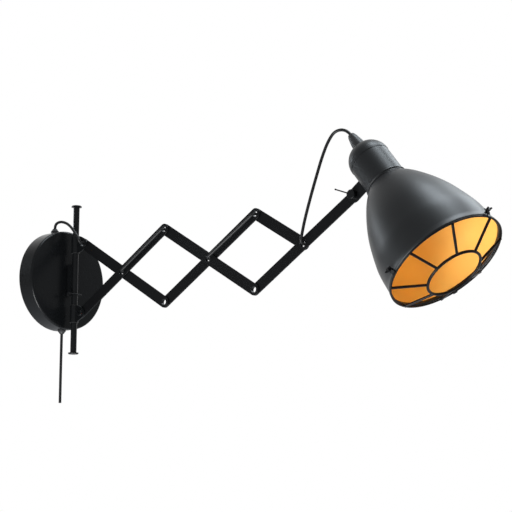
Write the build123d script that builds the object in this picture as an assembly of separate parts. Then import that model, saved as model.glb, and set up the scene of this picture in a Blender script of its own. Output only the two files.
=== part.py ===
from build123d import *
import os
from math import cos, pi, radians, sin, tan

# Accordion wall lamp. Millimetres, Z up, wall plane at X = 0, arm along +X, bar fronts face -Y.
# Origin: centre of the wall plate's back face.

# ---- driving dimensions -------------------------------------------------------------------------
CANOPY_R = 75.8            # round wall cover
CANOPY_DEPTH = 27.0
CANOPY_WALL = 1.2
PLATE_R = 64.0             # steel plate behind the cover
PLATE_T = 2.0
WALL_HOLE_R = 2.5
WALL_HOLE_SPACING = 90.0

ROD_X = 41.0               # upright rod that the arm slides and turns on
ROD_R = 4.75
ROD_HALF = 112.5
CAP_R = 8.0
CAP_T = 2.2

SLEEVE_R = 6.6             # tubes on the rod, each with one flat ear
SLEEVE_BORE_R = 5.76
LINER_R = 5.7
LINER_HEIGHT = 27.0
RUNNING = 0.06             # radial running fit

BAR_W = 16.2               # flat steel bars of the accordion
BAR_T = 2.0
LAYER = 2.3                # bar thickness and the gap to the next layer
LINK = 99.6                # pivot to pivot; a whole bar is two links long
LAST_LINK = 101.6          # last pivot to the tilt bolt
FOLD_REST = 32.45          # angle of every bar to the horizontal, degrees
EAR_REACH = 16.1           # rod axis to the first pivots

EYELET_R = 4.85            # hollow pivots that the cord is laced through
EYELET_BORE_R = 4.25
EYELET_FLANGE_R = 6.0
EYELET_FLANGE_T = 0.5

CORD_R = 2.1
LACE_CORNER_R = 5.0        # the laced cord turns this tightly at each eyelet

HEAD_DOWN = 52.8           # head axis below the horizontal, degrees
AXIS_OFFSET = 47.0         # tilt bolt to the head's axis
MOUTH_AHEAD = 169.1        # tilt bolt to the shade's mouth, along the axis
CUP_R = 28.1
CUP_WALL = 1.2
SHADE_WALL = 1.0
HOOP_R = 81.6
GUARD_RING_R = 38.2
GUARD_AHEAD = 19.5         # inner ring in front of the mouth
SPOKES = 8
CLIP_ANGLES = (-3.0, 120.0, 245.0)

# ---- places worked out from them ----------------------------------------------------------------
STEP_X = LINK * cos(radians(FOLD_REST))
STEP_Z = LINK * sin(radians(FOLD_REST))
PIVOT_X = ROD_X + EAR_REACH


def joint_at(steps, level):
    """Pivot `steps` links out from the ears, level 1 top, 0 middle, -1 bottom."""
    return (PIVOT_X + steps * STEP_X, level * STEP_Z)


EAR_TOP, EAR_LOW = joint_at(0, 1), joint_at(0, -1)
CROSS_1, TOP_1, LOW_1 = joint_at(1, 0), joint_at(2, 1), joint_at(2, -1)
CROSS_2, TOP_2, LOW_2 = joint_at(3, 0), joint_at(4, 1), joint_at(4, -1)
CROSS_3 = joint_at(5, 0)
TILT = (CROSS_3[0] + LAST_LINK * cos(radians(FOLD_REST)), LAST_LINK * sin(radians(FOLD_REST)))

parts = {}


def layer_y(layer):
    """Mid-plane of a layer; layer 1 is on the rod's axis, higher layers lie further back."""
    return (layer - 1) * LAYER


def between(layer):
    """Plane halfway between a layer and the one behind it."""
    return layer_y(layer) + LAYER / 2


def rod_y(x, z, y0, y1, r):
    """Round bar along Y."""
    return Pos(x, (y0 + y1) / 2, z) * Rot(90, 0, 0) * Cylinder(r, abs(y1 - y0))


def rod_z(x, y, z0, z1, r):
    """Round bar along Z."""
    return Pos(x, y, (z0 + z1) / 2) * Cylinder(r, abs(z1 - z0))


def rod_x(x0, x1, y, z, r):
    """Round bar along X."""
    return Pos((x0 + x1) / 2, y, z) * Rot(0, 90, 0) * Cylinder(r, abs(x1 - x0))


def turned(points):
    """Solid of revolution about Z from an outline of (radius, height) points."""
    outline = make_face(Polyline(*[(r, 0, z) for r, z in points], close=True))
    return revolve(outline, Axis.Z)


def tube_along(points, radii, r=CORD_R):
    """Cord along straight runs joined by tangent arcs."""
    route = FilletPolyline(*points, radius=radii) if radii else Polyline(*points)
    start = Plane(origin=route @ 0, z_dir=route % 0)
    return sweep(start * Circle(r), path=route)


def cord(name, points, corner_r=None, r=CORD_R):
    """Cord whose arcs are as large as their two runs allow, unless corner_r gives a tighter one."""
    vectors = [Vector(*p) for p in points]
    runs = [b - a for a, b in zip(vectors, vectors[1:])]
    radii = []
    for i, (one, two) in enumerate(zip(runs, runs[1:]), start=1):
        turn = radians(one.get_angle(two))
        widest = 0.45 * min(one.length, two.length) / tan(turn / 2)
        fixed = (corner_r or {}).get(i)
        radii.append(fixed if fixed else widest)
    solid = tube_along(points, radii, r)
    length = solid.volume / (pi * r * r)
    print(name, "length", round(length, 1), "run sum", round(sum(v.length for v in runs), 1),
          "radii", [round(v, 1) for v in radii])
    parts[name] = solid


# ---- wall plate, canopy and what they hold ------------------------------------------------------
GRUB_X = 6.0
TAB_OUT = CANOPY_R - CANOPY_WALL - 1.3
TAB_T = 2.0
TAB_HALF = 8.0
TAB_DEPTH = 11.0
STRIP_FROM = 56.0
GRUB_R = 2.0
GRUB_SLOT = (3.2, 1.6, 0.7)
GRUB_OUT = CANOPY_R + 0.3

plate = rod_x(0, PLATE_T, 0, 0, PLATE_R)
for hand in (-1, 1):
    strip_size = (PLATE_T, TAB_OUT - STRIP_FROM, 2 * TAB_HALF)
    strip = Pos(PLATE_T / 2, hand * (TAB_OUT + STRIP_FROM) / 2, 0) * Box(*strip_size)
    tab = Pos(TAB_DEPTH / 2, hand * (TAB_OUT - TAB_T / 2), 0) * Box(TAB_DEPTH, TAB_T, 2 * TAB_HALF)
    plate += strip + tab
    plate -= rod_y(GRUB_X, 0, hand * (TAB_OUT - 4), hand * (TAB_OUT + 2), GRUB_R)
    plate -= rod_x(-1, PLATE_T + 1, 0, hand * WALL_HOLE_SPACING / 2, WALL_HOLE_R)
parts["wall_plate"] = plate

FACE_EDGE_R = 3.0
TOP_GLAND_X = 11.6
TOP_GLAND_Y = -16.5
MAINS_GLAND_X = 14.5
GLAND_BARREL_R = 4.6
RIM_CUT = (60.0, 80.0)      # span of the cuts through the canopy's rim
FIN_T = 5.0
FIN_HALF = 24.0

canopy_outside = rod_x(0, CANOPY_DEPTH, 0, 0, CANOPY_R)
canopy_outside = fillet(canopy_outside.edges().filter_by(GeomType.CIRCLE).sort_by(Axis.X)[-1], FACE_EDGE_R)
canopy_inside = rod_x(-1, CANOPY_DEPTH - CANOPY_WALL, 0, 0, CANOPY_R - CANOPY_WALL)
canopy_inside = fillet(canopy_inside.edges().filter_by(GeomType.CIRCLE).sort_by(Axis.X)[-1],
                       FACE_EDGE_R - CANOPY_WALL)
canopy = canopy_outside - canopy_inside
canopy -= Pos(CANOPY_DEPTH, 0, 0) * Box(8, FIN_T, 2 * FIN_HALF)
canopy -= rod_z(TOP_GLAND_X, TOP_GLAND_Y, RIM_CUT[0], RIM_CUT[1], GLAND_BARREL_R)
canopy -= rod_z(MAINS_GLAND_X, 0, -RIM_CUT[1], -RIM_CUT[0], GLAND_BARREL_R)
for hand in (-1, 1):
    canopy -= rod_y(GRUB_X, 0, hand * RIM_CUT[0], hand * RIM_CUT[1], GRUB_R + 0.2)

grubs = []
for hand in (-1, 1):
    grub = rod_y(GRUB_X, 0, hand * (TAB_OUT - 3), hand * GRUB_OUT, GRUB_R)
    grub -= Pos(GRUB_X, hand * GRUB_OUT, 0) * Box(*GRUB_SLOT)
    grubs.append(grub)
parts["canopy_grub_screws"] = Compound(children=grubs)

# The bracket: a flange against the inside of the canopy's face and one upright fin through it.
FLANGE_T = 3.0
FLANGE_HALF_Y = 18.0
FLANGE_HALF_Z = 27.0
FACE_INSIDE = CANOPY_DEPTH - CANOPY_WALL
SPIGOT_R = 2.0
SPIGOT_Z = 13.0
RIVET_R = 1.8
RIVET_HEAD_R = RIVET_R + 1.4
RIVET_HEAD_T = 1.2
RIVET_Y, RIVET_Z = 13.0, 21.0

hinge_rod = rod_z(ROD_X, 0, -ROD_HALF, ROD_HALF, ROD_R)
bracket = Pos(FACE_INSIDE - FLANGE_T / 2, 0, 0) * Box(FLANGE_T, 2 * FLANGE_HALF_Y, 2 * FLANGE_HALF_Z)
fin_length = ROD_X - 2 - FACE_INSIDE
bracket += Pos(FACE_INSIDE + fin_length / 2, 0, 0) * Box(fin_length, FIN_T, 2 * FIN_HALF)
bracket -= hinge_rod
for z in (-SPIGOT_Z, SPIGOT_Z):
    spigot = rod_x(FACE_INSIDE + 2, ROD_X - 1.5, 0, z, SPIGOT_R)
    bracket += spigot
    hinge_rod -= spigot

rivets = []
for y in (-RIVET_Y, RIVET_Y):
    for z in (-RIVET_Z, RIVET_Z):
        rivet = rod_x(FACE_INSIDE - FLANGE_T, CANOPY_DEPTH, y, z, RIVET_R)
        rivet += rod_x(FACE_INSIDE - FLANGE_T - RIVET_HEAD_T, FACE_INSIDE - FLANGE_T, y, z, RIVET_HEAD_R)
        canopy -= rod_x(FACE_INSIDE - 1, CANOPY_DEPTH + 1, y, z, RIVET_R)
        bracket -= rod_x(FACE_INSIDE - FLANGE_T - 1, FACE_INSIDE + 1, y, z, RIVET_R)
        rivets.append(rivet)
parts["bracket_rivets"] = Compound(children=rivets)
parts["canopy_cover"] = canopy
parts["rod_bracket"] = bracket

# Rod, its two mushroom caps, and a hairpin clip whose straight leg crosses the rod below the fin's end.
CAP_SPIGOT_R = 2.4
CAP_SPIGOT = 8.0
PIN_R = 0.7
PIN_Z = -23.2              # the pin's straight leg, through the rod
PIN_FRONT = -11.0
PIN_BACK = 12.2
PIN_EYE = (ROD_X, -12.4, -24.6)
PIN_EYE_R = 2.0
PIN_EYE_WIRE_R = PIN_R + 0.1
KEEPER_X = ROD_X + 5.6     # the outer leg, sprung round the rod
PIN_BEND_R = 3.0

caps = []
for hand in (-1, 1):
    disc = rod_z(ROD_X, 0, hand * ROD_HALF, hand * (ROD_HALF + CAP_T), CAP_R)
    rim = disc.edges().filter_by(GeomType.CIRCLE).sort_by(Axis.Z)[-1 if hand > 0 else 0]
    disc = fillet(rim, CAP_T - 0.6)
    spigot = rod_z(ROD_X, 0, hand * (ROD_HALF - CAP_SPIGOT), hand * ROD_HALF, CAP_SPIGOT_R)
    hinge_rod -= spigot
    caps.append(disc + spigot)
parts["rod_caps"] = Compound(children=caps)

pin = rod_y(ROD_X, PIN_Z, PIN_FRONT, PIN_BACK, PIN_R)
hinge_rod -= pin
eye = Pos(*PIN_EYE) * Rot(0, 90, 0) * Torus(PIN_EYE_R, PIN_EYE_WIRE_R)
keeper = tube_along([(ROD_X, PIN_EYE[1], PIN_EYE[2] + PIN_EYE_R), (KEEPER_X, -5.5, PIN_Z),
                     (KEEPER_X, 5.0, PIN_Z), (KEEPER_X - 2.4, 11.5, PIN_Z)], [PIN_BEND_R, PIN_BEND_R], PIN_R)
parts["rod_lock_pin"] = pin + eye + keeper
parts["hinge_rod"] = hinge_rod

# Two moulded glands: cord to the lamp at the top, mains cord at the bottom.
GLAND_OUT = 5.4
GLAND_FLANGE_R = 6.3
GLAND_ROOT = -4.0
GLAND_DOME = [(0, GLAND_ROOT), (GLAND_FLANGE_R, GLAND_ROOT), (GLAND_FLANGE_R, 1.6), (4.6, 3.4),
              (3.4, GLAND_OUT), (0, GLAND_OUT)]
GLAND_BARREL = 6.5
GLAND_LIP_T = 1.3
GLAND_LIP_R = GLAND_BARREL_R + 1.2


def gland(x, y, hand):
    """Domed bush whose barrel fills its hole in the canopy's rim; hand is 1 at the top, -1 below."""
    seat = (CANOPY_R ** 2 - y ** 2) ** 0.5
    barrel = rod_z(0, 0, -GLAND_BARREL, 0, GLAND_BARREL_R)
    lip = rod_z(0, 0, -GLAND_BARREL, GLAND_LIP_T - GLAND_BARREL, GLAND_LIP_R)
    turn = Rot(0, 0, 0) if hand > 0 else Rot(180, 0, 0)
    spot = Pos(x, y, hand * seat) * turn
    bore = rod_z(0, 0, -GLAND_BARREL - 1, GLAND_OUT + 1, CORD_R)
    bush = spot * turned(GLAND_DOME) - canopy_outside + spot * (barrel + lip) - spot * bore
    return bush, hand * (seat + GLAND_OUT)


parts["top_gland"], TOP_GLAND_TIP = gland(TOP_GLAND_X, TOP_GLAND_Y, 1)
parts["mains_gland"], MAINS_GLAND_TIP = gland(MAINS_GLAND_X, 0, -1)

# Terminal block on the wall plate, its screws, and the leads inside the canopy.
BLOCK_X, BLOCK_Y, BLOCK_Z = 12.0, 26.0, 15.0
BLOCK_MID_Z = -38.0
TERMINAL_R = 1.6
TERMINAL_FROM = PLATE_T + 6.0
TERMINAL_TO = PLATE_T + BLOCK_X - 1.0
TERMINAL_SLOT = (1.2, 2.6, 0.6)
block = Pos(PLATE_T + BLOCK_X / 2, 0, BLOCK_MID_Z) * Box(BLOCK_X, BLOCK_Y, BLOCK_Z)
screws = []
for y in (-7.5, 0, 7.5):
    for dz in (-3.8, 3.8):
        screw = rod_x(TERMINAL_FROM, TERMINAL_TO, y, BLOCK_MID_Z + dz, TERMINAL_R)
        block -= rod_x(TERMINAL_FROM, TERMINAL_TO + 2, y, BLOCK_MID_Z + dz, TERMINAL_R)
        screw -= Pos(TERMINAL_TO, y, BLOCK_MID_Z + dz) * Box(*TERMINAL_SLOT)
        screws.append(screw)
parts["terminal_block"] = block
parts["terminal_screws"] = Compound(children=screws)

LEAD_X = 7.5
lead_top = tube_along([(TOP_GLAND_X, TOP_GLAND_Y, TOP_GLAND_TIP), (TOP_GLAND_X, TOP_GLAND_Y, 40),
                       (10, -12, 5), (LEAD_X, -6, -16),
                       (LEAD_X, -6, BLOCK_MID_Z + BLOCK_Z / 2)], [40, 40, 20])
lead_low = tube_along([(MAINS_GLAND_X, 0, MAINS_GLAND_TIP), (MAINS_GLAND_X, 0, -62), (LEAD_X, 0, -52),
                       (LEAD_X, 0, BLOCK_MID_Z - BLOCK_Z / 2)], [6, 6])
parts["inner_leads"] = Compound(children=[lead_top, lead_low])

# ---- slide liner, sleeves and ears --------------------------------------------------------------
LIP_T = 0.6
LIP_R = SLEEVE_R - 0.3
SLEEVE_HALF = LINER_HEIGHT / 2 - LIP_T - 0.1
EAR_R = 8.5
EAR_ROOT = ROD_X + 4.5      # inside the tube's wall
EAR_TIP_HALF = 7.2
EAR_WAIST = 5.0            # pivot back to where the ear starts to taper
EAR_TIP = 4.5


def liner(z):
    """Nylon liner with a lip at each end, a running fit on the rod."""
    body = rod_z(ROD_X, 0, z - LINER_HEIGHT / 2, z + LINER_HEIGHT / 2, LINER_R)
    for hand in (-1, 1):
        end = z + hand * LINER_HEIGHT / 2
        body += rod_z(ROD_X, 0, end - hand * LIP_T, end, LIP_R)
    return body - rod_z(ROD_X, 0, z - 20, z + 20, ROD_R + RUNNING)


def sleeve(pivot, layer, hole_r, bore_r):
    """Tube on a liner with one flat ear, brazed on, that carries a pivot."""
    x, z = pivot
    tube = rod_z(ROD_X, 0, z - SLEEVE_HALF, z + SLEEVE_HALF, SLEEVE_R)
    edge = Plane(origin=(0, layer_y(layer), 0), x_dir=(1, 0, 0), z_dir=(0, -1, 0))
    half = SLEEVE_HALF - 0.8
    outline = make_face(Polyline((EAR_ROOT, z - half), (x - EAR_WAIST, z - half),
                                 (x + EAR_TIP, z - EAR_TIP_HALF),
                                 (x + EAR_TIP, z + EAR_TIP_HALF), (x - EAR_WAIST, z + half),
                                 (EAR_ROOT, z + half), close=True))
    outline += Pos(x, z) * Circle(EAR_R)
    ear = extrude(edge * outline, BAR_T / 2, both=True)
    hole = rod_y(x, z, layer_y(layer) - 3, layer_y(layer) + 3, hole_r)
    return tube + ear - hole - rod_z(ROD_X, 0, z - 20, z + 20, bore_r)


parts["slide_liner"] = liner(EAR_TOP[1])
parts["upper_sleeve"] = sleeve(EAR_TOP, 1, EYELET_R, SLEEVE_BORE_R)
parts["lower_liner"] = liner(EAR_LOW[1])
PIVOT_SCREW_R = 3.0
parts["lower_sleeve"] = sleeve(EAR_LOW, 0, PIVOT_SCREW_R, LINER_R)

screw_front = layer_y(0) - BAR_T / 2
screw_back = layer_y(1) + BAR_T / 2 + 0.1
NUT_T = 3.4
NUT_R = 5.5
SCREW_HEAD_T = 2.6
SCREW_HEAD_R = 4.9
DRIVER_SLOT = (12.0, 2.0, 1.2)
head = rod_y(*EAR_LOW, screw_front - SCREW_HEAD_T, screw_front, SCREW_HEAD_R)
head = fillet(head.edges().filter_by(GeomType.CIRCLE).sort_by(Axis.Y)[0], 1.6)
head -= Pos(EAR_LOW[0], screw_front - SCREW_HEAD_T, EAR_LOW[1]) * Rot(0, 35, 0) * Box(*DRIVER_SLOT)
shank = rod_y(*EAR_LOW, screw_front, screw_back + NUT_T + 0.8, PIVOT_SCREW_R)
parts["lower_pivot_screw"] = head + shank
back_plane = Plane(origin=(EAR_LOW[0], screw_back, EAR_LOW[1]), x_dir=(1, 0, 0), z_dir=(0, 1, 0))
nut = extrude(back_plane * RegularPolygon(NUT_R, 6), NUT_T)
parts["lower_pivot_nut"] = nut - rod_y(*EAR_LOW, 0, 9, PIVOT_SCREW_R)

# ---- bars and hollow pivots of the accordion ----------------------------------------------------
BAR_EDGE = 0.25            # broken edges of the bars
SHAKE = 0.1                # play under an eyelet's free flange


def bar(start, end, layer, holes):
    """Flat bar with round ends; holes is a list of (pivot, radius)."""
    (x0, z0), (x1, z1) = start, end
    length = ((x1 - x0) ** 2 + (z1 - z0) ** 2) ** 0.5
    flat = Plane(origin=((x0 + x1) / 2, layer_y(layer), (z0 + z1) / 2), x_dir=(x1 - x0, 0, z1 - z0),
                 z_dir=(0, -1, 0))
    body = extrude(flat * SlotCenterToCenter(length, BAR_W), BAR_T / 2, both=True)
    faces_edges = body.edges().filter_by(lambda e: abs(e.center().Y - layer_y(layer)) > 0.9)
    body = chamfer(faces_edges, BAR_EDGE)
    for pivot, r in holes:
        body -= rod_y(*pivot, layer_y(layer) - 3, layer_y(layer) + 3, r)
    return body


def eyelet(pivot, front_layer, held_by_front):
    """Hollow rivet through two layers, tight in one and free in the other."""
    front = layer_y(front_layer) - BAR_T / 2 - (0 if held_by_front else SHAKE)
    back = layer_y(front_layer + 1) + BAR_T / 2 + (SHAKE if held_by_front else 0)
    body = rod_y(*pivot, front, back, EYELET_R)
    for y, out in ((front, -1), (back, 1)):
        flange = rod_y(*pivot, y, y + out * EYELET_FLANGE_T, EYELET_FLANGE_R)
        rim = flange.edges().filter_by(GeomType.CIRCLE).sort_by(Axis.Y)[0 if out < 0 else -1]
        body += fillet(rim, EYELET_FLANGE_T - 0.1)
    return body - rod_y(*pivot, front - 2, back + 2, EYELET_BORE_R)


TIGHT = EYELET_R
FREE = EYELET_R + RUNNING
BOLT_R = 3.0
BARS = {
    "a": (EAR_TOP, LOW_1, 2, [(EAR_TOP, FREE), (CROSS_1, TIGHT), (LOW_1, TIGHT)]),
    "b": (EAR_LOW, TOP_1, 1, [(EAR_LOW, PIVOT_SCREW_R + RUNNING), (CROSS_1, FREE), (TOP_1, TIGHT)]),
    "c": (TOP_1, LOW_2, 2, [(TOP_1, FREE), (CROSS_2, TIGHT), (LOW_2, TIGHT)]),
    "d": (LOW_1, TOP_2, 3, [(LOW_1, FREE), (CROSS_2, FREE), (TOP_2, TIGHT)]),
    "e": (TOP_2, CROSS_3, 4, [(TOP_2, FREE), (CROSS_3, FREE)]),
    "f": (LOW_2, TILT, 3, [(LOW_2, FREE), (CROSS_3, TIGHT), (TILT, BOLT_R)]),
}
for letter, (start, end, layer, holes) in BARS.items():
    parts["arm_bar_" + letter] = bar(start, end, layer, holes)

parts["upper_eyelet"] = eyelet(EAR_TOP, 1, True)
parts["bar_a_eyelets"] = Compound(children=[eyelet(CROSS_1, 1, False), eyelet(LOW_1, 2, True)])
parts["bar_b_eyelet"] = eyelet(TOP_1, 1, True)
parts["bar_c_eyelets"] = Compound(children=[eyelet(CROSS_2, 2, True), eyelet(LOW_2, 2, True)])
parts["bar_d_eyelet"] = eyelet(TOP_2, 3, True)
parts["bar_f_eyelet"] = eyelet(CROSS_3, 3, True)

# ---- cords --------------------------------------------------------------------------------------
LACE_RUN = 5.25            # eyelet's mid-plane to the cord's run beside the bars


def laced(name, start, start_layer, end, end_layer, side):
    """Cord held along one bar, from the mid-plane of one eyelet to the next; side -1 is the front."""
    y0, y1 = between(start_layer), between(end_layer)
    points = [(start[0], y0, start[1]), (start[0], y0 + side * LACE_RUN, start[1]),
              (end[0], y1 + side * LACE_RUN, end[1]), (end[0], y1, end[1])]
    cord(name, points, {1: LACE_CORNER_R, 2: LACE_CORNER_R})


laced("bar_a_cord", EAR_TOP, 1, CROSS_1, 1, 1)
laced("bar_b_cord", CROSS_1, 1, TOP_1, 1, -1)
laced("bar_c_cord", TOP_1, 1, CROSS_2, 2, 1)
laced("bar_d_cord", CROSS_2, 2, TOP_2, 3, -1)
laced("bar_e_cord", TOP_2, 3, CROSS_3, 3, 1)

# Mains cord: hangs straight from its gland and ends in a bare cut.
MAINS_ROUTE = [(MAINS_GLAND_X, 0, MAINS_GLAND_TIP), (14.4, 0, -115.8), (14.5, -0.1, -150.8),
               (14.7, -0.2, -186.6)]
cord("mains_cord", MAINS_ROUTE)

# Loop from the top gland over and in front of the rod, in two lengths that meet beside it.
LOOP_JOIN = (46.0, -12.1, 75.4)
GLAND_LOOP = [(TOP_GLAND_X, TOP_GLAND_Y, TOP_GLAND_TIP), (TOP_GLAND_X, TOP_GLAND_Y, 84.4),
              (15.2, -16.2, 88.7), (25.0, -15.4, 89.9), (39.0, -13.0, 83.9), LOOP_JOIN]
EAR_LOOP = [LOOP_JOIN, (51.3, -11.42, 68.96), (57.0, -9.9, 60.6), (EAR_TOP[0], -7.0, EAR_TOP[1]),
            (EAR_TOP[0], between(1), EAR_TOP[1])]
cord("gland_loop_cord", GLAND_LOOP)
cord("ear_loop_cord", EAR_LOOP)

# ---- head ---------------------------------------------------------------------------------------
# The head's own frame: Z runs back from the mouth along the axis, X points away from the arm.
down = radians(HEAD_DOWN)
ahead = (cos(down), -sin(down))
across = (sin(down), cos(down))
HEAD_Y = layer_y(2)
MOUTH = (TILT[0] + AXIS_OFFSET * across[0] + MOUTH_AHEAD * ahead[0], HEAD_Y,
         TILT[1] + AXIS_OFFSET * across[1] + MOUTH_AHEAD * ahead[1])
head_plane = Plane(origin=MOUTH, x_dir=(across[0], 0, across[1]), z_dir=(-ahead[0], 0, -ahead[1]))
head_place = head_plane.location


def place(name, solid):
    """Move a piece from the head's own frame to its place."""
    parts[name] = head_place * solid


def round_ring(r, wire_r, z):
    return Pos(0, 0, z) * Torus(r, wire_r)


def collar(r_in, r_out, z0, z1):
    """Plain ring about the head's axis."""
    return rod_z(0, 0, z0, z1, r_out) - rod_z(0, 0, z0 - 1, z1 + 1, r_in)


# Spun shade: a bell with a rolled rim and a flat top that the lampholder clamps.
BEAD_R = 1.6
NECK_Z = 141.0
NECK_R = 28.6
COLLAR_Z = NECK_Z - 1.2
SHADE_OUTLINE = [(80.0, BEAD_R), (77.7, 31.6), (73.8, 50.0), (65.6, 77.0), (55.6, 100.0), (42.9, 122.5),
                 (32.0, 137.0), (NECK_R, COLLAR_Z)]
HOLDER_R = 20.2
SHADE_RING_R = 26.5
SHADE_RING_T = 5.0


def shell_outline(points, wall):
    """Wall on the inside of a smooth outline, as one closed face."""
    outer = Spline(*[(r, 0, z) for r, z in points])
    inner_points = []
    for i in range(len(points)):
        tangent = outer.tangent_at(Vector(points[i][0], 0, points[i][1]))
        inner_points.append((points[i][0] - wall * abs(tangent.Z), points[i][1] - wall * abs(tangent.X)))
    inner = Spline(*[(r, 0, z) for r, z in inner_points])
    foot = Line(inner @ 0, outer @ 0)
    top = Line(outer @ 1, inner @ 1)
    return make_face([outer, top, inner, foot])


shade = revolve(shell_outline(SHADE_OUTLINE, SHADE_WALL), Axis.Z)
shade += round_ring(SHADE_OUTLINE[0][0] - 0.4, BEAD_R, BEAD_R)
shade += collar(NECK_R - SHADE_WALL, NECK_R, COLLAR_Z - 0.4, NECK_Z)
shade += collar(HOLDER_R + 0.3, NECK_R, NECK_Z - SHADE_WALL, NECK_Z)
place("lamp_shade", shade)

# Lampholder: insulating body, threaded shell, contact, clamping ring, nipple and lead.
HOLDER_MOUTH = 121.5
HOLDER_TOP = 181.0
HOLDER_BODY_TOP = HOLDER_TOP - 10.0
HOLDER_BORE_R = 15.0
FLANGE_R = 25.4
THREAD_IN_R, THREAD_OUT_R = 13.4, 14.9
THREAD_PITCH = 5.0
THREAD_GROOVE_R = 0.7
THREAD_TURNS = 5
THREAD_FROM = HOLDER_MOUTH + 3.0
THREAD_TO = HOLDER_MOUTH + 32.0
CUP_Z = 147.3
CAP_Z = 185.5
CAP_TOP = 211.0
NIPPLE_R = 4.9
NIPPLE_TOP = CAP_TOP + 4.0
holder = collar(HOLDER_BORE_R, HOLDER_R, HOLDER_MOUTH, HOLDER_BODY_TOP)
holder += rod_z(0, 0, HOLDER_BODY_TOP, HOLDER_TOP, HOLDER_R)
holder += collar(HOLDER_R - 1, FLANGE_R, NECK_Z, NECK_Z + 3)
holder -= rod_z(0, 0, HOLDER_TOP - 4, HOLDER_TOP + 1, NIPPLE_R)
place("holder_body", holder)
shell = collar(THREAD_IN_R, THREAD_OUT_R, THREAD_FROM, THREAD_TO)
for turn in range(THREAD_TURNS):
    shell -= round_ring(THREAD_IN_R, THREAD_GROOVE_R, THREAD_FROM + THREAD_PITCH * (turn + 1))
place("thread_shell", shell)
CONTACT_Z = HOLDER_BODY_TOP - 6.0
contact = rod_z(0, 0, CONTACT_Z, CONTACT_Z + 1, 4.0) + Pos(3.0, 0, CONTACT_Z + 3.5) * Box(1.0, 5.0, 5.0)
place("centre_contact", contact)
place("shade_ring", collar(HOLDER_R, SHADE_RING_R, NECK_Z - SHADE_WALL - SHADE_RING_T,
                           NECK_Z - SHADE_WALL))
RELIEF_TIP = 236.0
nipple = rod_z(0, 0, HOLDER_TOP - 4, NIPPLE_TOP, NIPPLE_R)
nipple -= rod_z(0, 0, HOLDER_TOP - 5, NIPPLE_TOP + 1, CORD_R)
place("holder_nipple", nipple)
place("holder_lead", rod_z(0, 0, HOLDER_TOP - 4, RELIEF_TIP, CORD_R))

# Neck ring with one bead, straight cup, domed cap and tapered strain relief.
NECK_BEAD_R = 29.5
neck = turned([(FLANGE_R, NECK_Z), (NECK_R, NECK_Z), (NECK_R, NECK_Z + 1.4), (NECK_BEAD_R, NECK_Z + 2.2),
               (NECK_BEAD_R + 0.1, NECK_Z + 3.0), (NECK_BEAD_R, NECK_Z + 3.8), (CUP_R, NECK_Z + 4.6),
               (CUP_R, CUP_Z), (FLANGE_R, CUP_Z)])
place("neck_ring", neck)
place("socket_cup", collar(CUP_R - CUP_WALL, CUP_R, CUP_Z, CAP_Z))
CUP_CAP_R = CUP_R + 0.4
LIP_TOP = CAP_Z + 1.6
CAP_FLAT_R = 9.4
dome_outer = Spline((CUP_CAP_R, 0, LIP_TOP), (25.0, 0, 199.5), (15.5, 0, 208.8), (CAP_FLAT_R, 0, CAP_TOP))
dome_inner = Spline((CUP_CAP_R - CUP_WALL, 0, LIP_TOP), (24.0, 0, 198.7), (15.0, 0, 207.6),
                    (CAP_FLAT_R, 0, CAP_TOP - CUP_WALL))
dome_face = make_face([dome_outer, Line(dome_outer @ 1, dome_inner @ 1), dome_inner,
                       Line(dome_inner @ 0, dome_outer @ 0)])
cup_cap = revolve(dome_face, Axis.Z) + collar(CUP_CAP_R - CUP_WALL, CUP_CAP_R, CAP_Z, LIP_TOP + 0.1)
cup_cap += collar(NIPPLE_R, CAP_FLAT_R + 0.1, CAP_TOP - CUP_WALL, CAP_TOP)
place("cup_cap", cup_cap)
RELIEF_BASE_R, RELIEF_MID_R, RELIEF_NECK_R, RELIEF_TIP_R = 9.1, 8.4, 5.9, 4.6
relief = turned([(0, CAP_TOP), (RELIEF_BASE_R, CAP_TOP), (RELIEF_BASE_R, CAP_TOP + 2),
                 (RELIEF_MID_R, CAP_TOP + 10), (RELIEF_NECK_R, RELIEF_TIP - 3), (RELIEF_TIP_R, RELIEF_TIP),
                 (0, RELIEF_TIP)])
relief -= rod_z(0, 0, CAP_TOP - 1, NIPPLE_TOP, NIPPLE_R)
relief -= rod_z(0, 0, NIPPLE_TOP - 1, RELIEF_TIP + 1, CORD_R)
place("strain_relief", relief)

# Wire guard: a hoop in front of the rim, eight spokes and a smaller ring further forward.
HOOP_BAND = 2.0
HOOP_T = 2.4
HOOP_BACK = -0.2
WIRE_R = 1.9
SPOKE_R = 1.8
SPOKE_ROOT = (79.8, -2.1)  # radius and height, clear of the shade's bead
hoop = collar(HOOP_R - HOOP_T, HOOP_R, HOOP_BACK - HOOP_BAND, HOOP_BACK)
hoop = fillet(hoop.edges().filter_by(GeomType.CIRCLE), 0.7)
inner_ring = round_ring(GUARD_RING_R, WIRE_R, -GUARD_AHEAD)
spokes = []
for k in range(SPOKES):
    tip = Vector(GUARD_RING_R, 0, -GUARD_AHEAD)
    root = Vector(SPOKE_ROOT[0], 0, SPOKE_ROOT[1])
    wire = sweep(Plane(origin=tip, z_dir=root - tip) * Circle(SPOKE_R), path=Line(tip, root))
    spokes.append(Rot(0, 0, k * 360 / SPOKES) * (wire - inner_ring - hoop))
place("guard_hoop", hoop)
place("guard_ring", inner_ring)
place("guard_spokes", Compound(children=spokes))

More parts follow.
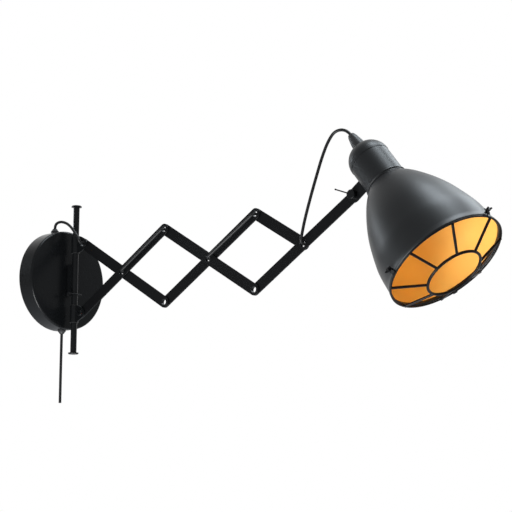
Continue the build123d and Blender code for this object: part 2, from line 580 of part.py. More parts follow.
# Three sprung clips from the hoop over the rim, each with a wing screw that bears on the shade.
CLIP_W = 6.0
CLIP_T = 1.2
CLIP_FOOT = -2.6
CLIP_OUT = 85.0
CLIP_STEP = 3.0            # where the clip's plate starts behind its foot
CLIP_TOP = 9.0
SCREW_BACK = 5.5
SCREW_R = 1.5
BEARING_R = 80.5           # the screws stop just short of the shade
BOSS_R, BOSS_T = 2.4, 0.8
COLLAR_TO, COLLAR_R = 88.6, 2.8
WING_T = 1.6
clip_line = [(HOOP_R, CLIP_FOOT), (HOOP_R + CLIP_T, CLIP_FOOT), (HOOP_R + CLIP_T, 0), (CLIP_OUT, CLIP_STEP),
             (CLIP_OUT, CLIP_TOP), (CLIP_OUT - CLIP_T, CLIP_TOP), (CLIP_OUT - CLIP_T, CLIP_STEP + 0.4),
             (HOOP_R, 0.4)]
clip_face = make_face(Polyline(*[(r, 0, z) for r, z in clip_line], close=True))
clip = extrude(clip_face, CLIP_W / 2, both=True)
boss = rod_x(CLIP_OUT, CLIP_OUT + BOSS_T, 0, SCREW_BACK, BOSS_R)
clip = clip + boss - rod_x(CLIP_OUT - 5, CLIP_OUT + 5, 0, SCREW_BACK, SCREW_R)
half_wing = [(1.4, 88.4), (2.2, 89.8), (3.8, 90.5), (4.5, 89.6), (3.8, 87.4), (2.2, 86.2)]
wing_line = half_wing + [(-across_y, r) for across_y, r in reversed(half_wing)]
wing_plane = Plane(origin=(0, 0, SCREW_BACK), x_dir=(0, 1, 0), z_dir=(0, 0, -1))
wing = extrude(wing_plane * make_face(Polyline(*wing_line, close=True)), WING_T / 2, both=True)
thumb_screw = rod_x(BEARING_R, COLLAR_TO, 0, SCREW_BACK, SCREW_R)
thumb_screw += rod_x(CLIP_OUT + BOSS_T, COLLAR_TO, 0, SCREW_BACK, COLLAR_R) + wing
place("guard_clips", Compound(children=[Rot(0, 0, angle) * clip for angle in CLIP_ANGLES]))
place("thumb_screws", Compound(children=[Rot(0, 0, angle) * thumb_screw for angle in CLIP_ANGLES]))

# Bracket: a flat plate from the tilt bolt to the cup, brazed to it.
BRACKET_W = 19.4
BRACKET_AHEAD = 1.2        # plate's centre line, ahead of the bolt
bracket_flat = Plane(origin=(TILT[0] + BRACKET_AHEAD * ahead[0], HEAD_Y, TILT[1] + BRACKET_AHEAD * ahead[1]),
                     x_dir=(across[0], 0, across[1]), z_dir=(0, -1, 0))
plate_outline = Pos(AXIS_OFFSET / 2, 0) * Rectangle(AXIS_OFFSET, BRACKET_W) + Circle(BRACKET_W / 2)
head_bracket = extrude(bracket_flat * plate_outline, BAR_T / 2, both=True)
head_bracket -= rod_y(*TILT, HEAD_Y - 3, HEAD_Y + 3, BOLT_R + RUNNING)
head_bracket -= head_place * rod_z(0, 0, 100, 220, CUP_R)
parts["head_bracket"] = head_bracket

# Tilt bolt from the back, knob in front with a tommy bar.
bolt_back = layer_y(3) + BAR_T / 2
KNOB_BACK = HEAD_Y - BAR_T / 2 - 0.1
KNOB_FRONT = KNOB_BACK - 6.8
KNOB_R = 6.4
BOLT_COVER = 1.4
BOLT_HEAD_T, BOLT_HEAD_R = 3.0, 6.5
bolt = rod_y(*TILT, KNOB_FRONT + BOLT_COVER, bolt_back, BOLT_R)
bolt_head = rod_y(*TILT, bolt_back, bolt_back + BOLT_HEAD_T, BOLT_HEAD_R)
bolt += fillet(bolt_head.edges().filter_by(GeomType.CIRCLE).sort_by(Axis.Y)[-1], 2.2)
parts["tilt_bolt"] = bolt
knob = rod_y(*TILT, KNOB_FRONT, KNOB_BACK, KNOB_R)
knob = fillet(knob.edges().filter_by(GeomType.CIRCLE).sort_by(Axis.Y)[0], 0.8)
knob -= rod_y(*TILT, KNOB_FRONT + BOLT_COVER, KNOB_BACK + 1, BOLT_R + RUNNING)
LEVER_Y = KNOB_FRONT + 3.0
LEVER_R = 0.9
LEVER_ANGLE = 158.0
LEVER_TIP = 28.3
lever_dir = Vector(cos(radians(LEVER_ANGLE)), 0, sin(radians(LEVER_ANGLE)))
lever_root = Vector(TILT[0], LEVER_Y, TILT[1]) + lever_dir * (BOLT_R + RUNNING + 0.3)
lever_tip = Vector(TILT[0], LEVER_Y, TILT[1]) + lever_dir * LEVER_TIP
lever = sweep(Plane(origin=lever_root, z_dir=lever_dir) * Circle(LEVER_R), path=Line(lever_root, lever_tip))
lever += Pos(*lever_tip) * Sphere(LEVER_R + 0.3)
parts["tilt_knob"] = knob - lever
parts["knob_lever"] = lever

# Head loop: out of the last eyelet, up and over, into the strain relief.
LOOP_TURN = 11.5           # where the loop comes into line with the head's axis, behind the relief's tip
tip = head_place * Pos(0, 0, RELIEF_TIP)
before = head_place * Pos(0, 0, RELIEF_TIP + LOOP_TURN)
HEAD_LOOP = [(CROSS_3[0], between(3), CROSS_3[1]), (CROSS_3[0], -2.2, CROSS_3[1]), (480.3, -2.9, 11.0),
             (485.3, -3.0, 30.2), (495.0, -2.5, 60.2), (504.8, -1.3, 89.2), (513.0, 0.2, 113.7),
             (522.8, 1.1, 134.7), (534.5, 1.9, 147.7), tuple(before.position), tuple(tip.position)]
cord("head_loop_cord", HEAD_LOOP, {1: LACE_CORNER_R})

os.makedirs("parts", exist_ok=True)
for name, solid in parts.items():
    export_step(solid, "parts/" + name + ".step")
print(len(parts), "nodes; mouth", [round(v, 1) for v in MOUTH], "tilt", [round(v, 1) for v in TILT])
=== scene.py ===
from math import cos, pi, radians, sin

import bpy
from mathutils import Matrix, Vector


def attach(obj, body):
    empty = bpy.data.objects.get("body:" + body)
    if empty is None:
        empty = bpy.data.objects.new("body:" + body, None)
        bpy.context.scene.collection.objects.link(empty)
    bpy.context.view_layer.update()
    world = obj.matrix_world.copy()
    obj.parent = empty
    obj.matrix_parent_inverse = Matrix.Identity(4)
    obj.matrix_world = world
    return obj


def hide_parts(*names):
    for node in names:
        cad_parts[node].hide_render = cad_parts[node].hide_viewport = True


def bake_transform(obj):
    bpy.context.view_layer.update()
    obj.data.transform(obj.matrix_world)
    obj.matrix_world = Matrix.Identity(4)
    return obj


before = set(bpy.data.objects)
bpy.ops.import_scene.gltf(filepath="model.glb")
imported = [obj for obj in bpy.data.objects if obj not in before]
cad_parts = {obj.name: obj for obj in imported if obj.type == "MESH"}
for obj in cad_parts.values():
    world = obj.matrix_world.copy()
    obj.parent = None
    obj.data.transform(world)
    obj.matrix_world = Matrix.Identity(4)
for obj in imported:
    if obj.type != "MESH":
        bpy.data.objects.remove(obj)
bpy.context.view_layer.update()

# ---- Viewpoint ----------------------------------------------------------------------------------
# The photograph is taken from in front of the arm, right of the lamp and a little below it, with a
# long lens, so that the underside of the rod's caps and the inside of the shade are seen.
CAMERA_PLACE = (1.69674, -1.57675, -0.40132)
CAMERA_TURN = 39.47
CAMERA_RISE = 10.915
CAMERA_LENS_MM = 106.335
SENSOR_MM = 36.0

viewpoint = bpy.data.cameras.new("viewpoint")
viewpoint.sensor_width = SENSOR_MM
viewpoint.lens = CAMERA_LENS_MM
viewpoint.clip_start = 0.05
viewpoint.clip_end = 40.0
viewer = bpy.data.objects.new("viewpoint", viewpoint)
viewer.location = CAMERA_PLACE
viewer.rotation_euler = (radians(90 + CAMERA_RISE), 0, radians(CAMERA_TURN))
bpy.context.collection.objects.link(viewer)
bpy.context.scene.camera = viewer

# ---- Wall plate ---------------------------------------------------------------------------------
# A zinc-plated steel disc screwed flat to the wall, with two turned-out tabs that the cover's set
# screws bite into. The plating is dull, with faint cloudy crystals and a soft rolled grain.


def node_at(tree, kind, **settings):
    """One shader node with its settings; a name in quotes sets an input of that name."""
    node = tree.nodes.new(kind)
    for name, value in settings.items():
        if hasattr(node, name):
            setattr(node, name, value)
        else:
            node.inputs[name.replace("_", " ")].default_value = value
    return node


def surface_group():
    """Grain that all the coated, moulded and plated finishes share, each with its own values."""
    group = bpy.data.node_groups.new("surface_grain", "ShaderNodeTree")
    colour = group.interface.new_socket("Colour", in_out="INPUT", socket_type="NodeSocketColor")
    colour.default_value = (0.5, 0.5, 0.5, 1.0)
    for name, value in (("Cloud", 0.1), ("Cloud Size", 60.0), ("Grain Size", 900.0), ("Grain Depth", 0.00002),
                        ("Speckle", 0.1), ("Roughness", 0.5), ("Roughness Spread", 0.1)):
        socket = group.interface.new_socket(name, in_out="INPUT", socket_type="NodeSocketFloat")
        socket.default_value = value
    group.interface.new_socket("Colour", in_out="OUTPUT", socket_type="NodeSocketColor")
    group.interface.new_socket("Roughness", in_out="OUTPUT", socket_type="NodeSocketFloat")
    group.interface.new_socket("Normal", in_out="OUTPUT", socket_type="NodeSocketVector")
    given = group.nodes.new("NodeGroupInput")
    result = group.nodes.new("NodeGroupOutput")
    place = group.nodes.new("ShaderNodeTexCoord")
    link = group.links.new

    cloud = node_at(group, "ShaderNodeTexNoise", Detail=3.0, Roughness=0.6)
    link(place.outputs["Object"], cloud.inputs["Vector"])
    link(given.outputs["Cloud Size"], cloud.inputs["Scale"])
    grain = node_at(group, "ShaderNodeTexNoise", Detail=2.0, Roughness=0.55)
    link(place.outputs["Object"], grain.inputs["Vector"])
    link(given.outputs["Grain Size"], grain.inputs["Scale"])

    cloud_shift = node_at(group, "ShaderNodeMath", operation="MULTIPLY_ADD")
    link(cloud.outputs["Fac"], cloud_shift.inputs[0])
    link(given.outputs["Cloud"], cloud_shift.inputs[1])
    cloud_shift.inputs[2].default_value = 1.0
    grain_shift = node_at(group, "ShaderNodeMath", operation="MULTIPLY_ADD")
    link(grain.outputs["Fac"], grain_shift.inputs[0])
    link(given.outputs["Speckle"], grain_shift.inputs[1])
    link(cloud_shift.outputs[0], grain_shift.inputs[2])
    tint = group.nodes.new("ShaderNodeHueSaturation")
    link(given.outputs["Colour"], tint.inputs["Color"])
    link(grain_shift.outputs[0], tint.inputs["Value"])
    link(tint.outputs["Color"], result.inputs["Colour"])

    spread = node_at(group, "ShaderNodeMath", operation="MULTIPLY_ADD")
    link(cloud.outputs["Fac"], spread.inputs[0])
    link(given.outputs["Roughness Spread"], spread.inputs[1])
    link(given.outputs["Roughness"], spread.inputs[2])
    link(spread.outputs[0], result.inputs["Roughness"])

    relief = node_at(group, "ShaderNodeBump", Strength=1.0)
    link(grain.outputs["Fac"], relief.inputs["Height"])
    link(given.outputs["Grain Depth"], relief.inputs["Distance"])
    link(relief.outputs["Normal"], result.inputs["Normal"])
    return group


surface_grain = surface_group()


def finish_of(name, colour, cloud=0.1, cloud_size=60.0, grain_size=900.0, grain_depth=0.00002, speckle=0.1,
              roughness=0.5, roughness_spread=0.1, **shader_values):
    """A material whose colour, gloss and relief come from the shared grain."""
    material = bpy.data.materials.new(name)
    material.use_nodes = True
    tree = material.node_tree
    shader = tree.nodes["Principled BSDF"]
    grain = tree.nodes.new("ShaderNodeGroup")
    grain.node_tree = surface_grain
    for socket, value in (("Colour", (*colour, 1.0)), ("Cloud", cloud), ("Cloud Size", cloud_size),
                          ("Grain Size", grain_size), ("Grain Depth", grain_depth), ("Speckle", speckle),
                          ("Roughness", roughness), ("Roughness Spread", roughness_spread)):
        grain.inputs[socket].default_value = value
    tree.links.new(grain.outputs["Colour"], shader.inputs["Base Color"])
    tree.links.new(grain.outputs["Roughness"], shader.inputs["Roughness"])
    tree.links.new(grain.outputs["Normal"], shader.inputs["Normal"])
    for socket, value in shader_values.items():
        shader.inputs[socket.replace("_", " ")].default_value = value
    return material


def dress(material, *nodes, rounding=0.0):
    """Give solids their finish and, where they have sharp edges, a fine rounding that catches light."""
    for name in nodes:
        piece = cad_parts[name]
        for place in piece.material_slots:
            place.material = material
        if rounding:
            edge = piece.modifiers.new("broken_edge", "BEVEL")
            edge.width = rounding
            edge.segments = 2
            edge.limit_method = "ANGLE"
            edge.angle_limit = radians(40)
            edge.harden_normals = True


zinc = finish_of("zinc_plated_steel", (0.46, 0.47, 0.48), cloud=0.25, cloud_size=90, grain_size=400,
                 grain_depth=0.00001, speckle=0.15, roughness=0.34, roughness_spread=0.15, Metallic=1.0)
dress(zinc, "wall_plate", "terminal_screws", rounding=0.0003)

# ---- Canopy -------------------------------------------------------------------------------------
# A deep-drawn steel cap, powder coated satin black, held by two set screws in its rim. The coating
# has a very fine orange peel and flows soft over the edge.
satin_black = finish_of("satin_black_powder_coat", (0.0036, 0.0040, 0.0044), cloud=0.35, cloud_size=25,
                        grain_size=750, grain_depth=0.000002, speckle=0.25, roughness=0.22,
                        roughness_spread=0.06, Specular_IOR_Level=0.22)
dress(satin_black, "canopy_cover")
dress(satin_black, "canopy_grub_screws", "bracket_rivets", rounding=0.00025)

# ---- Terminal block and leads inside the canopy -------------------------------------------------
# White nylon block with zinc screws; the two cords end in it.
nylon = finish_of("white_nylon", (0.66, 0.65, 0.60), cloud=0.12, cloud_size=120, grain_size=500,
                  grain_depth=0.00001, speckle=0.05, roughness=0.42, Subsurface_Weight=0.15,
                  Subsurface_Radius=(0.002, 0.002, 0.0018))
dress(nylon, "terminal_block", rounding=0.0002)
cord_jacket = finish_of("cord_jacket", (0.006, 0.0062, 0.0066), cloud=0.25, cloud_size=70, grain_size=1400,
                        grain_depth=0.000004, speckle=0.1, roughness=0.40, roughness_spread=0.08,
                        Specular_IOR_Level=0.3)
dress(cord_jacket, "inner_leads")

# ---- Cord glands --------------------------------------------------------------------------------
# Small moulded nylon domes in the canopy's rim, black and slightly waxy.
moulded_black = finish_of("moulded_black_nylon", (0.017, 0.017, 0.018), cloud=0.2, cloud_size=150,
                          grain_size=1800, grain_depth=0.000015, speckle=0.2, roughness=0.40,
                          Specular_IOR_Level=0.42)
dress(moulded_black, "top_gland", "mains_gland", rounding=0.0003)

# ---- Bracket, upright rod and its caps ----------------------------------------------------------
# One steel fin through the canopy's face carries the rod. Caps are pressed on both ends, and a thin
# hairpin clip with a small eye crosses the rod below the fin's end.
dress(satin_black, "rod_bracket", "rod_caps", rounding=0.0003)
dress(satin_black, "hinge_rod")
wire_black = finish_of("wire_black_lacquer", (0.0035, 0.0036, 0.004), cloud=0.3, cloud_size=60,
                       grain_size=1200, grain_depth=0.000002, speckle=0.1, roughness=0.30,
                       roughness_spread=0.08, Specular_IOR_Level=0.16)
dress(wire_black, "rod_lock_pin")

# ---- Mains cord and gland loop ------------------------------------------------------------------
# Round black cord, 4.2 mm. The mains tail hangs from the lower gland to a bare cut end; the other
# cord leaves the top gland, loops in front of the rod and goes into the upper ear's eyelet.
CORD_R = 0.0021
RING_STEPS = 5


def cord_curve(name, route):
    """Smooth line through a route's control points; the callers give it the cord's thickness."""
    curve = bpy.data.curves.new(name, "CURVE")
    curve.dimensions = "3D"
    spline = curve.splines.new("NURBS")
    spline.points.add(len(route) - 1)
    for point, place in zip(spline.points, route):
        point.co = (*place, 1.0)
    spline.order_u = 3
    spline.use_endpoint_u = True
    spline.resolution_u = 12
    piece = bpy.data.objects.new(name, curve)
    bpy.context.collection.objects.link(piece)
    return piece


def cord_tube(name, route):
    """The same cord as a mesh, and the points of the line that it follows."""
    line = cord_curve(name + "_line", route)
    path = [v.co.copy() for v in bpy.data.meshes.new_from_object(line).vertices]
    line.data.bevel_depth = CORD_R
    line.data.bevel_resolution = RING_STEPS
    line.data.use_fill_caps = True
    mesh = bpy.data.meshes.new_from_object(line)
    bpy.data.objects.remove(line)
    mesh.shade_smooth()
    mesh.set_sharp_from_angle(angle=radians(50))
    mesh.materials.clear()
    mesh.materials.append(cord_jacket)
    piece = bpy.data.objects.new(name, mesh)
    bpy.context.collection.objects.link(piece)
    return piece, path


MAINS_ROUTE = ((0.0145, 0, -0.0812), (0.0144, 0, -0.1158), (0.0145, -0.0001, -0.1508),
               (0.0147, -0.0002, -0.1866))
mains_tail = cord_curve("mains_tail", MAINS_ROUTE)
mains_tail.data.bevel_depth = CORD_R
mains_tail.data.bevel_resolution = RING_STEPS
mains_tail.data.use_fill_caps = True
mains_tail.data.materials.append(cord_jacket)
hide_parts("mains_cord")
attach(mains_tail, "wall_mount")

LOOP_JOIN = (0.0460, -0.0121, 0.0754)
GLAND_ROUTE = ((0.0116, -0.0165, 0.07938), (0.0116, -0.0165, 0.0844), (0.0152, -0.0162, 0.0887),
               (0.0250, -0.0154, 0.0899), (0.0390, -0.0130, 0.0839), LOOP_JOIN)
gland_loop, gland_path = cord_tube("gland_loop", GLAND_ROUTE)
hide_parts("gland_loop_cord")
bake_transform(gland_loop)

EAR_ROUTE = (LOOP_JOIN, (0.0513, -0.01142, 0.06896), (0.0570, -0.0099, 0.0606), (0.0571, -0.0070, 0.05344),
             (0.0571, 0.00115, 0.05344))
ear_loop, ear_path = cord_tube("ear_loop", EAR_ROUTE)
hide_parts("ear_loop_cord")
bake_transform(ear_loop)

# ---- Sleeves and ears ---------------------------------------------------------------------------
# Steel tubes on black nylon liners, each with one ear brazed on, coated like the canopy.
dress(moulded_black, "slide_liner", "lower_liner", rounding=0.0002)
dress(satin_black, "upper_sleeve", "lower_sleeve", "lower_pivot_screw", "lower_pivot_nut", rounding=0.0003)

# ---- Accordion bars -----------------------------------------------------------------------------
# Flat 16 by 2 mm steel bars with round ends, coated a little flatter than the rest.
bar_black = finish_of("bar_black_powder_coat", (0.0036, 0.0038, 0.0042), cloud=0.35, cloud_size=30,
                      grain_size=900, grain_depth=0.000001, speckle=0.1, roughness=0.36,
                      roughness_spread=0.06, Specular_IOR_Level=0.12)
dress(bar_black, "arm_bar_a", "arm_bar_b", "arm_bar_c", "arm_bar_d", "arm_bar_e", "arm_bar_f")

# ---- Hollow pivots ------------------------------------------------------------------------------
# Eyelets rolled over at both ends, so that the cord can pass through them from side to side.
dress(satin_black, "upper_eyelet", "bar_a_eyelets", "bar_b_eyelet", "bar_c_eyelets", "bar_d_eyelet",
      "bar_f_eyelet")

# ---- Cord laced along the bars ------------------------------------------------------------------
# One stretch to a bar, behind and in front by turns, pulled tight between the eyelets.
dress(cord_jacket, "bar_a_cord", "bar_b_cord", "bar_c_cord", "bar_d_cord", "bar_e_cord")

# ---- Head loop ----------------------------------------------------------------------------------
# The cord leaves the last eyelet towards the front, rises in a long bow and turns over into the
# strain relief, with enough spare length for the head to tilt.
HEAD_ROUTE = ((0.47732, 0.00575, 0.0), (0.47732, -0.0022, 0.0), (0.4803, -0.0029, 0.0110),
              (0.4853, -0.0030, 0.0302), (0.4950, -0.0025, 0.0602), (0.5048, -0.0013, 0.0892),
              (0.5130, 0.0002, 0.1137), (0.5228, 0.0011, 0.1347), (0.5345, 0.0019, 0.1477),
              (0.55312, 0.0023, 0.14537), (0.56007, 0.0023, 0.13621))
head_loop, head_path = cord_tube("head_loop", HEAD_ROUTE)
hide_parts("head_loop_cord")
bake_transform(head_loop)

# ---- Tilt joint ---------------------------------------------------------------------------------
# A bolt through bar and bracket, with a turned knob and a thin tommy bar in front.
dress(satin_black, "tilt_bolt", "tilt_knob", "head_bracket", rounding=0.0003)
dress(wire_black, "knob_lever")

# ---- Lampholder ---------------------------------------------------------------------------------
# Black phenolic body with a rolled brass thread, hidden by the cup but seen up inside the shade.
phenolic = finish_of("black_phenolic", (0.02, 0.018, 0.016), cloud=0.25, cloud_size=80, grain_size=300,
                     grain_depth=0.00001, speckle=0.1, roughness=0.28)
dress(phenolic, "holder_body", "shade_ring", rounding=0.0003)
brass = finish_of("rolled_brass", (0.70, 0.50, 0.20), cloud=0.25, cloud_size=70, grain_size=600,
                  grain_depth=0.00001, speckle=0.15, roughness=0.26, roughness_spread=0.15, Metallic=1.0)
dress(brass, "thread_shell", "centre_contact", "holder_nipple")
dress(cord_jacket, "holder_lead")

# ---- Cup, cap, neck ring and strain relief ------------------------------------------------------
# Drawn steel cup with a domed cap, coated with a flatter satin that spreads the light, and a moulded
# cone that guides the cord out of its top.
head_black = finish_of("head_satin_black", (0.0036, 0.0044, 0.0052), cloud=0.3, cloud_size=30, grain_size=800,
                       grain_depth=0.000002, speckle=0.1, roughness=0.40, roughness_spread=0.06,
                       Specular_IOR_Level=0.48)
dress(head_black, "socket_cup", "cup_cap", "neck_ring")
dress(moulded_black, "strain_relief")

# ---- Shade --------------------------------------------------------------------------------------
# A spun steel bell with a rolled rim: satin black outside, copper-gold lacquer inside. Spinning has
# left faint rings round the inside.
MOUTH = Vector((0.70275, 0.0023, -0.05177))
HEAD_DOWN = radians(52.8)
BACK = Vector((-cos(HEAD_DOWN), 0, sin(HEAD_DOWN)))
ACROSS = Vector((sin(HEAD_DOWN), 0, cos(HEAD_DOWN)))
ALONG_WALL = Vector((0, 1, 0))
SHADE_WALL = 0.001
BEAD_R = 0.0016
SHADE_OUTLINE = ((0.0800, 0.0016), (0.0777, 0.0316), (0.0738, 0.0500), (0.0656, 0.0770), (0.0556, 0.1000),
                 (0.0429, 0.1225), (0.0320, 0.1370), (0.0286, 0.1398))
NECK_TOP = 0.1410
NECK_R = 0.0286
NECK_HOLE_R = 0.0205
SHADE_STEPS = 192
SPAN_STEPS = 6


def smooth_through(points, steps):
    """Points of a smooth line through the given ones."""
    line = []
    last = len(points) - 1
    for i in range(last):
        p0, p1 = Vector(points[max(i - 1, 0)]), Vector(points[i])
        p2, p3 = Vector(points[i + 1]), Vector(points[min(i + 2, last)])
        for k in range(steps):
            t = k / steps
            line.append(0.5 * (2 * p1 + (p2 - p0) * t + (2 * p0 - 5 * p1 + 4 * p2 - p3) * t * t
                               + (3 * p1 - 3 * p2 + p3 - p0) * t ** 3))
    return line + [Vector(points[last])]


outside = smooth_through(SHADE_OUTLINE, SPAN_STEPS)
inside = []
for i, here in enumerate(outside):
    run = (outside[min(i + 1, len(outside) - 1)] - outside[max(i - 1, 0)]).normalized()
    inside.append(here - SHADE_WALL * Vector((run.y, -run.x)))
bead_middle = Vector((SHADE_OUTLINE[0][0] - 0.0004, BEAD_R))
bead = []
BEAD_POINTS = 14
for k in range(BEAD_POINTS + 1):
    angle = radians(150 + (390 - 150) * k / BEAD_POINTS)
    bead.append(bead_middle + BEAD_R * Vector((cos(angle), sin(angle))))
neck = [Vector((NECK_R, NECK_TOP - 0.0004)), Vector((NECK_R - 0.0004, NECK_TOP)),
        Vector((NECK_HOLE_R, NECK_TOP))]
under_neck = [Vector((NECK_HOLE_R, NECK_TOP - SHADE_WALL)),
              Vector((NECK_R - SHADE_WALL, NECK_TOP - SHADE_WALL))]
ABOVE_BEAD = 2.2 * BEAD_R
gold_line = [p for p in reversed(inside) if p.y > ABOVE_BEAD]
black_line = [p for p in outside if p.y > ABOVE_BEAD]
outline = bead + black_line + neck + under_neck + gold_line
GOLD_FROM = len(bead) + len(black_line) + len(neck)
GOLD_TO = len(outline)

shade_points, shade_faces, shade_uv = [], [], []
run_length = [0.0]
for here, after in zip(outline, outline[1:] + outline[:1]):
    run_length.append(run_length[-1] + (after - here).length)
for k in range(SHADE_STEPS):
    angle = 2 * pi * k / SHADE_STEPS
    outward = ACROSS * cos(angle) + ALONG_WALL * sin(angle)
    for r, back in outline:
        shade_points.append(MOUTH + BACK * back + outward * r)
count = len(outline)
for k in range(SHADE_STEPS):
    for i in range(count):
        j = (i + 1) % count
        m = (k + 1) % SHADE_STEPS
        shade_faces.append((k * count + i, k * count + j, m * count + j, m * count + i))
        u0, u1 = k / SHADE_STEPS, (k + 1) / SHADE_STEPS
        v0, v1 = run_length[i], run_length[i + 1]
        shade_uv += [(u0, v0), (u0, v1), (u1, v1), (u1, v0)]
shade_mesh = bpy.data.meshes.new("shade_bell")
shade_mesh.from_pydata(shade_points, [], shade_faces)
uv = shade_mesh.uv_layers.new(name="round_and_along")
for loop, place in zip(uv.data, shade_uv):
    loop.uv = place
shade_mesh.shade_smooth()
shade_mesh.set_sharp_from_angle(angle=radians(40))

shade_gold = bpy.data.materials.new("shade_copper_gold")
shade_gold.use_nodes = True
tree = shade_gold.node_tree
shader = tree.nodes["Principled BSDF"]
grain = tree.nodes.new("ShaderNodeGroup")
grain.node_tree = surface_grain
for socket, value in (("Colour", (0.98, 0.585, 0.14, 1.0)), ("Cloud", 0.18), ("Cloud Size", 25.0),
                      ("Grain Size", 1500.0), ("Grain Depth", 0.000008), ("Speckle", 0.10),
                      ("Roughness", 0.34), ("Roughness Spread", 0.10)):
    grain.inputs[socket].default_value = value
where = tree.nodes.new("ShaderNodeUVMap")
where.uv_map = "round_and_along"
stretch = node_at(tree, "ShaderNodeMapping", Scale=(0.6, 900.0, 1.0))
rings = node_at(tree, "ShaderNodeTexNoise", Scale=1.0, Detail=2.0)
ring_relief = node_at(tree, "ShaderNodeBump", Strength=0.35, Distance=0.00003)
tree.links.new(where.outputs["UV"], stretch.inputs["Vector"])
tree.links.new(stretch.outputs["Vector"], rings.inputs["Vector"])
tree.links.new(rings.outputs["Fac"], ring_relief.inputs["Height"])
tree.links.new(grain.outputs["Normal"], ring_relief.inputs["Normal"])
tree.links.new(grain.outputs["Colour"], shader.inputs["Base Color"])
tree.links.new(grain.outputs["Roughness"], shader.inputs["Roughness"])
tree.links.new(ring_relief.outputs["Normal"], shader.inputs["Normal"])
shader.inputs["Metallic"].default_value = 0.2
shade_mesh.materials.append(head_black)
shade_mesh.materials.append(shade_gold)
for face in shade_mesh.polygons:
    step = face.index % count
    if GOLD_FROM <= step < GOLD_TO - 1:
        face.material_index = 1
shade_bell = bpy.data.objects.new("shade_bell", shade_mesh)
bpy.context.collection.objects.link(shade_bell)
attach(shade_bell, "head")
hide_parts("lamp_shade")

# ---- Wire guard ---------------------------------------------------------------------------------
# A hoop in front of the rim with eight welded spokes and a smaller ring, held by three sprung clips
# with wing screws, all lacquered black.
dress(wire_black, "guard_hoop", "guard_ring", "guard_spokes", "guard_clips")
dress(wire_black, "thumb_screws", rounding=0.0002)

# ---- Studio -------------------------------------------------------------------------------------
# A plain pale floor well below the lamp, a backdrop that is white behind the lamp and grey on the
# viewer's side, soft fill that comes mostly from above, and four soft lamps.
FLOOR_Z = -1.15
FLOOR_HALF = 6.0
floor_mesh = bpy.data.meshes.new("studio_floor")
corners = [(sx * FLOOR_HALF, sy * FLOOR_HALF, FLOOR_Z) for sx, sy in ((-1, -1), (1, -1), (1, 1), (-1, 1))]
floor_mesh.from_pydata(corners, [], [(0, 1, 2, 3)])
floor_finish = finish_of("studio_floor", (0.88, 0.88, 0.88), cloud=0.02, cloud_size=1.0, grain_size=40,
                         grain_depth=0.0001, speckle=0.01, roughness=0.8)
floor_mesh.materials.append(floor_finish)
floor = bpy.data.objects.new("studio_floor", floor_mesh)
bpy.context.collection.objects.link(floor)

surround = bpy.data.worlds.new("studio")
surround.use_nodes = True
bpy.context.scene.world = surround
tree = surround.node_tree
tree.nodes.clear()
ray = tree.nodes.new("ShaderNodeLightPath")
seen = node_at(tree, "ShaderNodeMath", operation="MAXIMUM")
tree.links.new(ray.outputs["Is Camera Ray"], seen.inputs[0])
tree.links.new(ray.outputs["Is Glossy Ray"], seen.inputs[1])
either = node_at(tree, "ShaderNodeMath", operation="MAXIMUM")
tree.links.new(seen.outputs[0], either.inputs[0])
tree.links.new(ray.outputs["Is Transmission Ray"], either.inputs[1])
BACKDROP_DIRECTION = (-0.624, 0.758, 0.189)
ROOM_LEVEL = 0.30
EDGE_FROM, EDGE_TO = 0.30, 0.90
way = tree.nodes.new("ShaderNodeTexCoord")
facing = node_at(tree, "ShaderNodeVectorMath", operation="DOT_PRODUCT")
tree.links.new(way.outputs["Generated"], facing.inputs[0])
facing.inputs[1].default_value = BACKDROP_DIRECTION
level = tree.nodes.new("ShaderNodeMapRange")
level.interpolation_type = "SMOOTHSTEP"
for socket, value in (("From Min", EDGE_FROM), ("From Max", EDGE_TO), ("To Min", ROOM_LEVEL),
                      ("To Max", 1.0)):
    level.inputs[socket].default_value = value
tree.links.new(facing.outputs["Value"], level.inputs["Value"])
SKY_LEVEL = 0.50
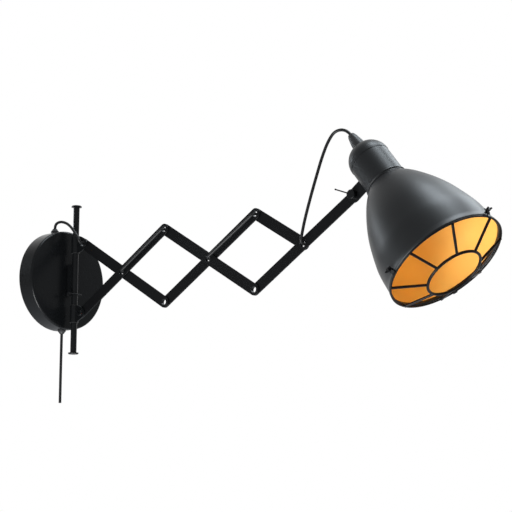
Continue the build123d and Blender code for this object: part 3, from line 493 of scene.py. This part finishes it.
GROUND_LEVEL = 0.10
HORIZON_FROM, HORIZON_TO = -0.05, 0.45
height = tree.nodes.new("ShaderNodeSeparateXYZ")
tree.links.new(way.outputs["Generated"], height.inputs[0])
sky = tree.nodes.new("ShaderNodeMapRange")
sky.interpolation_type = "SMOOTHSTEP"
for socket, value in (("From Min", HORIZON_FROM), ("From Max", HORIZON_TO), ("To Min", GROUND_LEVEL),
                      ("To Max", SKY_LEVEL)):
    sky.inputs[socket].default_value = value
tree.links.new(height.outputs["Z"], sky.inputs["Value"])
soft = node_at(tree, "ShaderNodeBackground", Color=(0.93, 0.95, 1.0, 1.0))
tree.links.new(sky.outputs["Result"], soft.inputs["Strength"])
white = node_at(tree, "ShaderNodeBackground", Color=(1.0, 1.0, 1.0, 1.0))
tree.links.new(level.outputs["Result"], white.inputs["Strength"])
choice = tree.nodes.new("ShaderNodeMixShader")
world_out = tree.nodes.new("ShaderNodeOutputWorld")
tree.links.new(either.outputs[0], choice.inputs["Fac"])
tree.links.new(soft.outputs["Background"], choice.inputs[1])
tree.links.new(white.outputs["Background"], choice.inputs[2])
tree.links.new(choice.outputs["Shader"], world_out.inputs["Surface"])

LAMPS = (("overhead", (0.90, 0.15, 1.80), 0.8, 24.0), ("rim", (0.84, 1.24, 1.30), 0.8, 12.0),
         ("left", (-1.15, -0.25, 0.40), 0.3, 3.0), ("bounce", (0.42, -0.92, -0.84), 0.7, 21.0))
LAMP_TINT = (0.84, 0.93, 1.0)
AIM = Vector((0.55, 0.0, 0.03))
for name, place, width, power in LAMPS:
    lamp = bpy.data.lights.new(name, "AREA")
    lamp.shape = "SQUARE"
    lamp.size = width
    lamp.energy = power
    lamp.color = LAMP_TINT if name != "bounce" else (1.0, 1.0, 1.0)
    holder = bpy.data.objects.new(name, lamp)
    holder.location = place
    holder.rotation_euler = (Vector(place) - AIM).to_track_quat("Z", "Y").to_euler()
    bpy.context.collection.objects.link(holder)

bpy.context.scene.view_settings.view_transform = "Standard"
